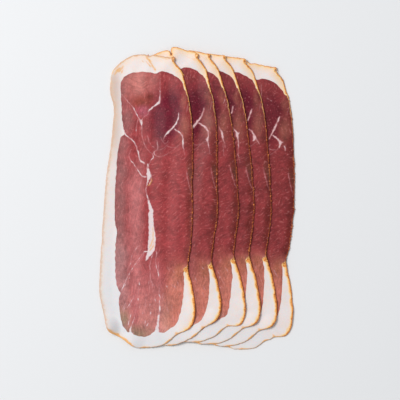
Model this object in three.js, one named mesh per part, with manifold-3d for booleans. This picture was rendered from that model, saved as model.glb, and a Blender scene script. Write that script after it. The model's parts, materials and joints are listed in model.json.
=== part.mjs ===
// Six thin slices of dry-cured ham, fanned out flat with each one lying partly on the next.
// Millimetres, +Z up. The fan rests on z = 0, its long side runs along Y, and its origin is
// under the middle of its bounding box. Every slice is one lean solid and one fat solid.

import * as THREE from 'three';
import { mergeVertices } from 'three/addons/utils/BufferGeometryUtils.js';
import Module from 'manifold-3d';

const wasm = await Module();
wasm.setup();

// Driving sizes
const SLICE_THICKNESS = 1.4;
const GAP = 0.3; // clearance between touching solids
const LAYER = SLICE_THICKNESS + GAP;
const CELL_X = 8.4; // squares of the net that all slices share, so that they nest exactly
const CELL_Y = 15;
const NET_MARGIN = 12; // how far the net runs past the outermost slice
const DRAPE = 11; // width of the slope down from the edge of a slice that lies beneath
const RIM_LIFT = 0.7; // how far a right-hand rim stands up from the slice under it
const RIM_WIDTH = 16;
const RIM_FROM_MIDDLE = 5; // the rim starts to stand up this far right of the slice's middle
const RIM_FULL_AT = 25;
const RIM_WAVE = 62; // length of the waves along a rim
const RIM_WAVE_SHIFT = 1.7; // radians from one slice to the next, so that the waves differ
const CURL_LIFT = 1.9; // the rind curls up at the shoulder
const CURL_REACH = 16;
const CUTTER_TOP = 40;
const OUTLINE_STEPS = 2; // points per stretch between two named points of an outline

// One slice, flat, seen from above: x to the right, y along the ham, origin near its middle
const SLICE_OUTLINE = [
  [-33.4, 99.7], [-31.1, 113.9], [-23.9, 122.3], [-13.4, 128.2], [-2.0, 129.1],
  [1.1, 126.2], [5.4, 128.8], [14.7, 127.8], [22.6, 126.2], [24.4, 122.6],
  [29.8, 116.1], [33.6, 104.1], [38.0, 83.2], [40.3, 62.3], [40.5, 31.2],
  [40.1, 8.9], [40.5, -8.9], [38.5, -42.7], [36.0, -59.5], [40.4, -78.6],
  [42.5, -99.7], [38.7, -112.6], [25.4, -119.7], [16.9, -127.3], [2.2, -131.0],
  [-12.4, -130.3], [-22.7, -123.3], [-34.9, -115.7], [-38.3, -103.8], [-42.7, -82.8],
  [-42.0, -58.1], [-39.6, -18.1], [-36.9, 17.8], [-32.1, 53.4], [-30.1, 81.9],
];

// The muscle inside the fat. Where there is no fat, on the right, it runs out past the slice.
const PAST_RIM = 60;
const LEAN_OUTLINE = [
  [-23.7, 103.7], [-17.9, 111.2], [-6.7, 113.6], [8.0, 112.7], [16.8, 113.5],
  [29.1, 106.4], [33.0, 98.0], [PAST_RIM, 96.5], [PAST_RIM, 18], [PAST_RIM, -58.0],
  [36.0, -59.8], [32.8, -66.8], [32.6, -82.0], [29.8, -99.0], [25.1, -110.5],
  [14.9, -117.4], [9.3, -114.8], [2.6, -119.8], [-8.3, -120.8], [-17.2, -117.7],
  [-23.1, -106.8], [-25.4, -89.9], [-27.4, -75.1], [-28.7, -59.5], [-28.0, -35.6],
  [-28.9, -4.5], [-28.0, 21.4], [-26.0, 45.2], [-21.3, 63.5], [-23.0, 83.2],
];

const CURL_SPOT = [24, 123]; // the shoulder of the slice, where the rind turns over

// Soft slices are never alike: each tug pulls the outline about one spot by so many millimetres
const TUGS = {
  top: { x: 15, y: 122, reachX: 50, reachY: 50, pull: [0, 1] },
  lobe: { x: 9, y: 130, reachX: 22, reachY: 24, pull: [0, 1] },
  shoulder: { x: 27, y: 119, reachX: 17, reachY: 24, pull: [0, 1] },
  belly: { x: 40, y: 9, reachX: 55, reachY: 52, pull: [1, 0] },
  waist: { x: 40, y: -43, reachX: 55, reachY: 30, pull: [1, 0] },
  tip: { x: 38, y: -62, reachX: 45, reachY: 34, pull: [0, 1] },
  corner: { x: 39, y: -113, reachX: 18, reachY: 26, pull: [0, 1] },
  chin: { x: 19, y: -127, reachX: 22, reachY: 30, pull: [0, 1] },
  base: { x: -6, y: -131, reachX: 22, reachY: 26, pull: [0, 1] },
};

// The slices from the topmost, at the left, to the lowest, at the right. x and y place the
// middle of the slice, turn is in degrees counter-clockwise, and the rest are its tugs.
const SLICES = [
  { x: 0, y: 0, turn: 0 },
  { x: 22.0, y: 2.1, turn: 0.6, lobe: 4.2, waist: -2.4, chin: 4 },
  { x: 38.9, y: 0.8, turn: 3.47, lobe: 3.6, belly: 1.8, waist: -1.8, tip: 4.5, chin: 7, base: 4.5 },
  { x: 52.3, y: 0.4, turn: 3.39, lobe: 1.2, belly: 2.3, waist: -1.2, tip: 5.7, chin: 4.5, base: 3 },
  { x: 68.3, y: -0.1, turn: 2.61, lobe: -0.8, belly: 1.6, waist: -1.5, tip: 7.5, chin: 3, base: 1.5 },
  {
    x: 88.4, y: -1.6, turn: -0.85, top: -3.5, lobe: -3.5, shoulder: -3.5,
    belly: 2.1, tip: 6.1, corner: -4, chin: -2.5,
  },
];

const LEAN_FINISH = { color: 0xa34f52, roughness: 0.45, metalness: 0 };
const FAT_FINISH = { color: 0xe9dfdb, roughness: 0.5, metalness: 0 };

// 1 at the middle, falling smoothly to 0 at a distance of 1
function bump(distance) {
  const t = Math.min(1, Math.abs(distance));
  return (1 - t * t) ** 2;
}

// 0 before the start, 1 past the end, smooth between
function ramp(value, start, end) {
  const t = Math.min(1, Math.max(0, (value - start) / (end - start)));
  return t * t * (3 - 2 * t);
}

// A point of the flat master slice as it lies in the fan
function placed([x, y], slice) {
  let px = x;
  let py = y;
  for (const [name, tug] of Object.entries(TUGS)) {
    const far = Math.hypot((x - tug.x) / tug.reachX, (y - tug.y) / tug.reachY);
    const strength = (slice[name] ?? 0) * bump(far);
    px += tug.pull[0] * strength;
    py += tug.pull[1] * strength;
  }
  const turn = THREE.MathUtils.degToRad(slice.turn);
  return new THREE.Vector2(
    slice.x + px * Math.cos(turn) - py * Math.sin(turn),
    slice.y + px * Math.sin(turn) + py * Math.cos(turn),
  );
}

// A closed, smooth ring of points through the named points of an outline
function smoothRing(points) {
  const curve = new THREE.CatmullRomCurve3(
    points.map((p) => new THREE.Vector3(p.x, p.y, 0)), true, 'centripetal');
  return curve.getPoints(points.length * OUTLINE_STEPS).slice(0, -1)
    .map((p) => new THREE.Vector2(p.x, p.y));
}

// The same ring, moved outwards by a small distance. Rings run clockwise.
function grown(ring, distance) {
  return ring.map((point, i) => {
    const before = ring[(i + ring.length - 1) % ring.length];
    const after = ring[(i + 1) % ring.length];
    const along = after.clone().sub(before).normalize();
    return new THREE.Vector2(point.x - along.y * distance, point.y + along.x * distance);
  });
}

// How far a place is outside a ring, with y squeezed so that one net cell counts as square
function distanceOutside(ring, x, y, squeeze = 1) {
  let inside = false;
  let nearest = Infinity;
  for (let i = 0; i < ring.length; i += 1) {
    const a = ring[i];
    const b = ring[(i + 1) % ring.length];
    const dx = b.x - a.x;
    const dy = (b.y - a.y) * squeeze;
    const qx = x - a.x;
    const qy = (y - a.y) * squeeze;
    const t = Math.min(1, Math.max(0, (qx * dx + qy * dy) / (dx * dx + dy * dy)));
    nearest = Math.min(nearest, Math.hypot(qx - t * dx, qy - t * dy));
    if ((a.y > y) !== (b.y > y) && x < a.x + ((y - a.y) / (b.y - a.y)) * (b.x - a.x)) {
      inside = !inside;
    }
  }
  return inside ? -nearest : nearest;
}

const slices = SLICES.map((slice, index) => ({
  ...slice,
  index,
  outline: smoothRing(SLICE_OUTLINE.map((point) => placed(point, slice))),
  lean: smoothRing(LEAN_OUTLINE.map((point) => placed(point, slice))),
  curl: placed(CURL_SPOT, slice),
}));

// The shared net: every slice takes its heights at the same places
const reach = new THREE.Box2();
slices.forEach((slice) => slice.outline.forEach((point) => reach.expandByPoint(point)));
const netStart = reach.min.clone().subScalar(NET_MARGIN);
const netColumns = Math.ceil((reach.max.x - netStart.x + NET_MARGIN) / CELL_X) + 1;
const netRows = Math.ceil((reach.max.y - netStart.y + NET_MARGIN) / CELL_Y) + 1;
const squeeze = CELL_X / CELL_Y;
const FULL_COVER = CELL_X * Math.SQRT2; // a net cell that a slice touches counts as covered

// 1 where a slice lies, sloping down to 0 around it
function cover(slice, x, y) {
  const far = distanceOutside(slice.outline, x, y, squeeze);
  return 1 - ramp(far, FULL_COVER, FULL_COVER + DRAPE);
}

// The waves of the free right-hand rim, and the curl at the shoulder
function lift(slice, x, y) {
  const curl = CURL_LIFT * bump(Math.hypot(x - slice.curl.x, y - slice.curl.y) / CURL_REACH);
  if (slice.index === slices.length - 1) return curl; // the lowest slice lies flat
  const inwards = -distanceOutside(slice.outline, x, y);
  const rightwards = ramp(x - slice.x, RIM_FROM_MIDDLE, RIM_FULL_AT);
  const turns = y / RIM_WAVE;
  const wave = 0.5 + 0.5 * Math.sin(2 * Math.PI * turns + slice.index * RIM_WAVE_SHIFT);
  return curl + RIM_LIFT * wave * rightwards * (1 - ramp(inwards, 0, RIM_WIDTH));
}

// The height of the underside of a slice, which rests on all slices listed after it
function underside(slice, x, y) {
  return slices.slice(slice.index + 1).reduce(
    (height, lower) => height + LAYER * cover(lower, x, y) + lift(lower, x, y),
    lift(slice, x, y),
  );
}

// A closed geometry as a solid that can be joined and cut
function solidFrom(geometry) {
  geometry.deleteAttribute('normal');
  geometry.deleteAttribute('uv');
  const merged = mergeVertices(geometry);
  return new wasm.Manifold(new wasm.Mesh({
    numProp: 3,
    vertProperties: merged.attributes.position.array,
    triVerts: merged.index.array,
  }));
}

// A closed sheet over the whole net, with the underside of one slice and its thickness
function sheet(slice) {
  const positions = [];
  for (const thickness of [0, SLICE_THICKNESS]) {
    for (let row = 0; row < netRows; row += 1) {
      for (let column = 0; column < netColumns; column += 1) {
        const x = netStart.x + column * CELL_X;
        const y = netStart.y + row * CELL_Y;
        positions.push(x, y, underside(slice, x, y) + thickness);
      }
    }
  }
  const layer = netRows * netColumns;
  const at = (row, column) => row * netColumns + column;
  const faces = [];
  for (let row = 0; row + 1 < netRows; row += 1) {
    for (let column = 0; column + 1 < netColumns; column += 1) {
      const [a, b] = [at(row, column), at(row, column + 1)];
      const [c, d] = [at(row + 1, column + 1), at(row + 1, column)];
      faces.push(a, c, b, a, d, c);
      faces.push(a + layer, b + layer, c + layer, a + layer, c + layer, d + layer);
    }
  }
  const rim = [];
  for (let column = 0; column + 1 < netColumns; column += 1) rim.push(at(0, column));
  for (let row = 0; row + 1 < netRows; row += 1) rim.push(at(row, netColumns - 1));
  for (let column = netColumns - 1; column > 0; column -= 1) rim.push(at(netRows - 1, column));
  for (let row = netRows - 1; row > 0; row -= 1) rim.push(at(row, 0));
  rim.forEach((a, i) => {
    const b = rim[(i + 1) % rim.length];
    faces.push(a, b, b + layer, a, b + layer, a + layer);
  });
  const geometry = new THREE.BufferGeometry();
  geometry.setAttribute('position', new THREE.Float32BufferAttribute(positions, 3));
  geometry.setIndex(faces);
  return solidFrom(geometry);
}

// An upright cutter with a ring as its section
function cutter(ring) {
  const geometry = new THREE.ExtrudeGeometry(new THREE.Shape(ring), {
    depth: CUTTER_TOP,
    bevelEnabled: false,
    steps: 1,
  });
  geometry.translate(0, 0, -CUTTER_TOP / 2);
  return solidFrom(geometry);
}

// A solid as a named mesh with its own material
function meshFrom(name, solid, finish) {
  const { vertProperties, triVerts } = solid.getMesh();
  const geometry = new THREE.BufferGeometry();
  geometry.setAttribute('position', new THREE.BufferAttribute(vertProperties, 3));
  geometry.setIndex(new THREE.BufferAttribute(triVerts, 1));
  geometry.computeVertexNormals();
  const mesh = new THREE.Mesh(geometry, new THREE.MeshStandardMaterial(finish));
  mesh.name = name;
  return mesh;
}

const fan = new THREE.Group();
for (const slice of slices) {
  const whole = sheet(slice).intersect(cutter(slice.outline));
  const lean = whole.intersect(cutter(slice.lean));
  const fat = whole.subtract(cutter(grown(slice.lean, GAP)));
  fan.add(meshFrom(`lean_${slice.index + 1}`, lean, LEAN_FINISH));
  fan.add(meshFrom(`fat_${slice.index + 1}`, fat, FAT_FINISH));
}

// The origin goes under the middle of the fan
const box = new THREE.Box3().setFromObject(fan, true);
const middle = box.getCenter(new THREE.Vector3());
fan.position.set(-middle.x, -middle.y, -box.min.z);

export default fan;
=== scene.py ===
# %% [markdown]
# # A fan of dry-cured ham
#
# Six long, thin slices of dry-cured ham lie in a fan, each one partly on the next. A slice is
# limp, moist meat 1.4 mm thick: dark red muscle with white seams of fat through it, inside a
# border of white fat, with a thin golden rind round the outer edge.
#
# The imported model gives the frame: every length below is in millimetres in the fan's own frame,
# +Z up, and only becomes metres where a mesh is made.

# %% Load the frame
import json
import math

import bpy
import numpy as np
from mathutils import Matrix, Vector
from mathutils.geometry import delaunay_2d_cdt
from mathutils.kdtree import KDTree

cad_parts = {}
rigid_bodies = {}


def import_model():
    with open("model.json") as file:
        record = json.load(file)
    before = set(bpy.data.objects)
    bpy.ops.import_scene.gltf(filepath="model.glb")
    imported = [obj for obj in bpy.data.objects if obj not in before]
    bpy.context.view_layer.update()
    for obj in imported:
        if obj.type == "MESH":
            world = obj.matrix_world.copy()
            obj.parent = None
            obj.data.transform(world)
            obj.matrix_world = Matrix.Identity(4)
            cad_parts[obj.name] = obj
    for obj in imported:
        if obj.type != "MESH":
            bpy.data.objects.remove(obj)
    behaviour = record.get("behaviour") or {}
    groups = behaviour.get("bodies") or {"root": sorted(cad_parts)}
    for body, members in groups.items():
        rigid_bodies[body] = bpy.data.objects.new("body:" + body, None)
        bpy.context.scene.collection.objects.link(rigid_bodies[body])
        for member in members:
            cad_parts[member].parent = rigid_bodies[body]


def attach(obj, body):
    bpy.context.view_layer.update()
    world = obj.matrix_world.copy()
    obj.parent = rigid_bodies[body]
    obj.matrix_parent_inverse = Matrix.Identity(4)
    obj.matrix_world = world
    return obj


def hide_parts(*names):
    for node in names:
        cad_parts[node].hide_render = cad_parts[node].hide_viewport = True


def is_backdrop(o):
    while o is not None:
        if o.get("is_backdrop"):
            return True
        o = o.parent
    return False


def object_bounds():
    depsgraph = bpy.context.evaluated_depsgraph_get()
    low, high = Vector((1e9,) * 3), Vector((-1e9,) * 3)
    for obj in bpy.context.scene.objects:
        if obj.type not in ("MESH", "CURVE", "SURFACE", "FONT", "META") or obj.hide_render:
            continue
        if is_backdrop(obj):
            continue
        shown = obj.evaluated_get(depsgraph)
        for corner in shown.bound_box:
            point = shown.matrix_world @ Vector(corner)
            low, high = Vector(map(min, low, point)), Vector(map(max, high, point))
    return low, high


for start_up_object in list(bpy.data.objects):
    bpy.data.objects.remove(start_up_object)
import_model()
cad_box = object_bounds()
MM = 0.001
print("solid model, mm:", [round(v / MM, 1) for corner in cad_box for v in corner])

# %% [markdown]
# ## The shape of one slice
#
# Every slice is cut from the same ham, so all six follow one master outline and differ a little.
# The outline has one named point wherever the edge changes its course, and a smooth closed curve
# runs through them. A drawn curve object would do as well, but plain points are easier to pull
# about, which is how each slice gets its own belly, shoulder and chin.

# %% One slice, seen from above
SLICE_OUTLINE = [
    (-33.4, 99.7), (-31.1, 113.9), (-23.9, 122.3), (-13.4, 128.2), (-2.0, 129.1), (1.1, 127.8),
    (5.4, 128.6), (14.7, 127.2), (20.6, 126.2), (24.3, 125.6), (24.8, 124.6), (23.3, 123.2),
    (25.6, 120.6), (30.3, 114.1), (33.6, 103.2), (38.0, 83.2), (40.3, 62.3), (40.5, 31.2), (40.1, 8.9),
    (40.5, -8.9), (38.5, -42.7), (36.0, -59.5), (40.4, -78.6), (42.5, -99.7), (38.7, -112.6),
    (25.4, -119.7), (16.9, -127.3), (2.2, -131.0), (-12.4, -130.3), (-22.7, -123.3), (-34.9, -115.7),
    (-38.3, -103.8), (-42.7, -82.8), (-42.0, -58.1), (-39.6, -18.1), (-36.9, 17.8), (-32.1, 53.4),
    (-30.1, 81.9),
]
PAST_RIM = 60
LEAN_OUTLINE = [
    (-23.7, 103.7), (-22.0, 107.7), (-17.9, 111.2), (-12.5, 113.2), (-2.2, 113.6),
    (8.0, 112.5), (11.4, 113.8), (16.8, 113.5), (23.7, 110.4), (29.1, 106.4),
    (32.0, 101.0), (33.4, 96.8), (PAST_RIM, 94), (PAST_RIM, 18), (PAST_RIM, -59.4),
    (36.2, -59.9), (33.4, -60.8), (32.5, -63.0), (32.7, -71.7), (32.2, -82.0), (29.6, -99.0),
    (25.1, -110.5), (20.3, -113.9), (14.9, -117.4), (10.4, -117.4), (9.2, -114.5),
    (6.0, -116.7), (2.6, -119.8), (-2.2, -121.5), (-8.3, -120.8), (-12.4, -119.1),
    (-15.1, -116.7), (-17.2, -117.7), (-19.8, -114.6), (-22.6, -109.9), (-25.0, -95.6),
    (-25.4, -88.1), (-23.9, -82.7), (-25.4, -79.9), (-27.4, -75.1), (-28.7, -59.5),
    (-28.0, -35.2), (-27.1, -27.6), (-28.7, -21.5), (-29.1, -4.5), (-28.7, 9.8),
    (-28.0, 21.4), (-26.0, 45.2), (-23.3, 56.0), (-20.6, 58.7), (-21.3, 63.5),
    (-22.7, 73.0), (-23.0, 83.2), (-23.7, 93.5),
]
print(len(SLICE_OUTLINE), "points round the slice,", len(LEAN_OUTLINE), "round its lean")

# %% How the six slices differ
# Each tug pulls the outline about one spot: the spot, how far it reaches, and which way it pulls
TUGS = {
    "top": ((15, 122), (50, 50), (0, 1)),
    "lobe": ((9, 130), (22, 24), (0, 1)),
    "dome": ((14, 114), (20, 12), (0, 1)),
    "brow": ((30, 103), (8, 10), (0, 1)),
    "shoulder": ((27, 119), (17, 24), (0, 1)),
    "belly": ((40, 9), (55, 52), (1, 0)),
    "waist": ((40, -43), (55, 30), (1, 0)),
    "tip": ((38, -62), (45, 34), (0, 1)),
    "corner": ((39, -113), (18, 26), (0, 1)),
    "chin": ((19, -127), (22, 30), (0, 1)),
    "base": ((-6, -131), (22, 26), (0, 1)),
    "lip": ((17, -127), (9, 8), (0, 1)),
}
# The second slice's top edge has a flap of its own, which stands up over a notch
TOP_FLAP = [
    (-7.7, 130.2), (-3.3, 131.0), (-0.9, 129.8), (0.5, 126.4), (1.0, 126.8), (0.3, 131.0),
    (1.2, 133.4), (3.4, 133.8), (8.3, 132.6), (16.3, 129.8), (21.2, 128.4),
]
# From the topmost slice, at the left, to the lowest, at the right. "dark" deepens its lean.
SLICES = [
    dict(x=0, y=0, turn=0, dark=0.0),
    dict(x=22.0, y=2.1, turn=0.6, dome=1.4, shoulder=0.9, waist=-2.4, corner=4.5, chin=3.5,
         flap=TOP_FLAP, dark=0.17),
    dict(x=38.9, y=0.8, turn=3.47, lobe=3.4, shoulder=0.8, belly=1.8, waist=-1.8, tip=4.5,
         chin=7, base=4.5, lean_low=4, heel=2.2, dark=0.18),
    dict(x=52.3, y=0.4, turn=3.39, lobe=1.2, shoulder=0.7, belly=2.3, waist=-1.2, tip=5.7,
         corner=1.5, chin=4.5, base=3, lean_low=5, heel=2.2, dark=0.23),
    dict(x=68.3, y=-0.1, turn=2.61, lobe=-0.8, shoulder=-1.3, belly=1.6, waist=-1.5, tip=7.5,
         chin=3, base=1.5, lean_low=6, heel=0.8, dark=0.22),
    dict(x=88.4, y=-1.6, turn=-0.85, top=-3.5, lobe=-2.5, shoulder=-2.6, brow=-3, belly=2.1,
         tip=6.1, corner=-4, lip=3, lean_low=9, dark=0.28),
]
print("slices:", len(SLICES))


# %% Soft steps and bumps
def ramp(value, start, end):
    """0 before the start, 1 past the end, smooth between. The end may be the smaller."""
    t = np.clip((value - start) / (end - start), 0, 1)
    return t * t * (3 - 2 * t)


def bump(distance):
    """1 at the middle, falling smoothly to 0 at a distance of 1."""
    return (1 - np.clip(np.abs(distance), 0, 1) ** 2) ** 2


def blob(points, x, y, reach_x, reach_y):
    """1 at a spot of the slice, falling to 0 at its reach."""
    return bump(np.hypot((points[:, 0] - x) / reach_x, (points[:, 1] - y) / reach_y))


print("a bump halfway to its reach:", round(float(bump(0.5)), 2))


# %% Outlines and smooth lines
def placed(points, slice_):
    """Points of the flat master slice as they lie in the fan."""
    points = np.asarray(points, float).reshape(-1, 2)
    pulled = points.copy()
    for name, (spot, reach, pull) in TUGS.items():
        strength = slice_.get(name, 0) * blob(points, *spot, *reach)
        pulled += np.outer(strength, pull)
    turn = math.radians(slice_["turn"])
    x = pulled[:, 0] * math.cos(turn) - pulled[:, 1] * math.sin(turn) + slice_["x"]
    y = pulled[:, 0] * math.sin(turn) + pulled[:, 1] * math.cos(turn) + slice_["y"]
    return np.column_stack([x, y])


def outline_of(slice_):
    """The named points of a slice's edge."""
    if "flap" not in slice_:
        return SLICE_OUTLINE
    return SLICE_OUTLINE[:4] + slice_["flap"] + SLICE_OUTLINE[9:]


def smooth_ring(points, steps):
    """A closed centripetal Catmull-Rom curve, with some steps to each stretch."""
    p = np.asarray(points, float)
    p0, p1, p2, p3 = (np.roll(p, shift, axis=0) for shift in (1, 0, -1, -2))
    d0, d1, d2 = (np.sqrt(np.linalg.norm(b - a, axis=1))[:, None]
                  for a, b in ((p0, p1), (p1, p2), (p2, p3)))
    out = ((p1 - p0) / d0 - (p2 - p0) / (d0 + d1) + (p2 - p1) / d1) * d1
    into = ((p2 - p1) / d1 - (p3 - p1) / (d1 + d2) + (p3 - p2) / d2) * d1
    rows = []
    for t in np.arange(steps) / steps:
        rows.append(p1 * (2 * t**3 - 3 * t**2 + 1) + p2 * (3 * t**2 - 2 * t**3)
                    + out * (t**3 - 2 * t**2 + t) + into * (t**3 - t**2))
    return np.stack(rows, axis=1).reshape(-1, 2)


def smooth_line(points, steps):
    """An open Catmull-Rom curve, with some steps to each stretch and without its last point."""
    p = np.asarray(points, float)
    p = np.vstack([2 * p[0] - p[1], p, 2 * p[-1] - p[-2]])
    p0, p1, p2, p3 = p[:-3], p[1:-2], p[2:-1], p[3:]
    rows = [0.5 * (2 * p1 + (p2 - p0) * t + (2 * p0 - 5 * p1 + 4 * p2 - p3) * t**2
                   + (3 * p1 - p0 - 3 * p2 + p3) * t**3) for t in np.arange(steps) / steps]
    return np.stack(rows, axis=1).reshape(-1, p.shape[1])


def evenly(points, spacing, closed=True):
    """The same line with its points an even distance apart."""
    line = np.vstack([points, points[:1]]) if closed else np.asarray(points, float)
    along = np.concatenate([[0], np.cumsum(np.linalg.norm(np.diff(line, axis=0), axis=1))])
    count = max(2, round(along[-1] / spacing))
    at = np.linspace(0, along[-1], count, endpoint=False) if closed else np.linspace(0, along[-1], count)
    return np.column_stack([np.interp(at, along, line[:, axis]) for axis in range(line.shape[1])])


corners = np.vstack([smooth_ring(placed(outline_of(s), s), 2) for s in SLICES])
FAN_SHIFT = np.array([-44.029, -0.945])
for slice_ in SLICES:
    slice_["x"] += FAN_SHIFT[0]
    slice_["y"] += FAN_SHIFT[1]
print("fan, mm:", np.round(np.ptp(corners, axis=0), 1),
      "middle:", np.round((corners.min(axis=0) + corners.max(axis=0)) / 2 + FAN_SHIFT, 2))

# %% [markdown]
# ## How the slices lie on each other
#
# The lowest slice lies flat. Every other one rests on those below it and sags down past their
# edges. A cloth simulation could find this, but the slices would drift from the solids. Here the
# height of a slice's underside is simply added up: one layer for each slice beneath, fading out
# over a few millimetres around that slice's edge. The sum can never cut into a slice below.
# Free rims stand up a little, in waves, and some corners more, which gives the dark gaps there.

# %% Heights
THICKNESS = 1.4
LAYER = 1.56
DRAPE = 13.0
RIM_LIFT = 0.55
RIM_WIDTH = 12
FOOT_LIFT = 0.15
SWELL = 0.6
# Spots of a slice that stand up: where, how far they reach, how high, and on which slices
LIFTED = {
    "shoulder": ((24, 122), 15, 1.3, range(6)),
    "chin": ((36, -112), 11, 1.6, (1, 3, 4)),
    "bulge": ((42, -100), 16, 0.9, range(6)),
    "tip": ((37, -62), 9, 0.8, range(6)),
    "lobe": ((5, 128), 12, 1.6, (1,)),
    "heel corner": ((-36.0, -113.5), 13, 5.6, (0,)),
    "foot": ((-14, -127), 13, 1.8, (0,)),
}
print("standing spots:", list(LIFTED))

# %% How far inside an edge each place lies
GRID = 1.0
MARGIN = 14
EDGE_STEP = 1.5


def inwards_of(points, ring):
    """Distance of each point from a closed line, positive inside it. The line runs clockwise."""
    tree = KDTree(len(ring))
    for i, (x, y) in enumerate(ring[:, :2]):
        tree.insert((x, y, 0), i)
    tree.balance()
    nearest = np.array([tree.find((x, y, 0))[1] for x, y in points], int)
    best = np.full(len(points), np.inf)
    for step in (-1, 1):
        start, end = ring[nearest, :2], ring[(nearest + step) % len(ring), :2]
        along, away = end - start, points - start
        t = np.clip((away * along).sum(1) / (along**2).sum(1), 0, 1)
        best = np.minimum(best, np.linalg.norm(away - t[:, None] * along, axis=1))
    along = ring[(nearest + 1) % len(ring), :2] - ring[nearest - 1, :2]
    away = points - ring[nearest, :2]
    return np.where(along[:, 0] * away[:, 1] - along[:, 1] * away[:, 0] < 0, best, -best)


low_corner = np.array([cad_box[0][0], cad_box[0][1]]) / MM - MARGIN
grid_size = np.ceil((np.array([cad_box[1][0], cad_box[1][1]]) / MM + MARGIN - low_corner) / GRID)
grid_x, grid_y = (low_corner[axis] + GRID * np.arange(int(grid_size[axis])) for axis in (0, 1))
grid_points = np.stack(np.meshgrid(grid_x, grid_y, indexing="ij"), axis=-1).reshape(-1, 2)


def sampled(grid, points):
    """Values of a grid at places between its points."""
    place = (points - low_corner) / GRID
    cell = np.clip(np.floor(place).astype(int), 0, np.array(grid.shape) - 2)
    fx, fy = np.clip(place - cell, 0, 1).T
    i, j = cell.T
    return ((grid[i, j] * (1 - fx) + grid[i + 1, j] * fx) * (1 - fy)
            + (grid[i, j + 1] * (1 - fx) + grid[i + 1, j + 1] * fx) * fy)


for slice_ in SLICES:
    ring = evenly(smooth_ring(placed(outline_of(slice_), slice_), 8), EDGE_STEP)
    slice_["inside"] = inwards_of(grid_points, ring).reshape(len(grid_x), len(grid_y))
print("grid:", len(grid_x), "by", len(grid_y), "points")


# %% The height of each underside
def lift(index, points):
    """How far a slice stands up from what it lies on, because of its own stiffness."""
    slice_ = SLICES[index]
    inwards = sampled(slice_["inside"], points)
    rightwards = ramp(points[:, 0] - slice_["x"], 5, 25)
    wave = 0.5 + 0.3 * np.sin(points[:, 1] / 9.9 + index * 1.7) + 0.2 * np.sin(points[:, 1] / 4.3 - index)
    height = RIM_LIFT * wave * rightwards * ramp(inwards, RIM_WIDTH, 0)
    if index == len(SLICES) - 1:
        height *= 0.3
    foot = ramp(points[:, 1] - slice_["y"], -104, -116) * ramp(inwards, 9, 0)
    height += FOOT_LIFT * foot * (0.5 + 0.5 * np.sin(points[:, 0] / 3.4 + 2.3 * index))
    for spot, reach, most, which in LIFTED.values():
        if index in which:
            x, y = placed(spot, slice_)[0]
            height += most * bump(np.hypot(points[:, 0] - x, points[:, 1] - y) / reach)
    return height


def swell(points):
    """Long low waves that the whole stack shares, from 0 to 1."""
    x, y = points.T
    return 0.5 + 0.3 * np.sin(x / 11 + y / 21) + 0.2 * np.sin(x / 7 - y / 15 + 2)


def underside(index, points):
    """Height of a slice's underside above the floor."""
    height = lift(index, points)
    height += SWELL * swell(points) * (len(SLICES) - 1 - index) / (len(SLICES) - 1)
    for lower in range(index + 1, len(SLICES)):
        inwards = sampled(SLICES[lower]["inside"], points)
        height += LAYER * ramp(inwards, -0.4 - DRAPE, -0.4) + lift(lower, points)
    return height


print("top of the stack, mm:", round(float(underside(0, grid_points).max() + THICKNESS), 1))

# %% [markdown]
# ## Seams and stains
#
# White seams of fat run between the muscles, and a few golden lines show where the fat is
# folded. Painting them on a picture would be quick, but this object carries no pictures. Each
# seam is a route over the slice with a width at every point. The slice's mesh gets vertices
# along the route, and the seam's strength is kept in a vertex attribute, so it stays sharp.

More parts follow.
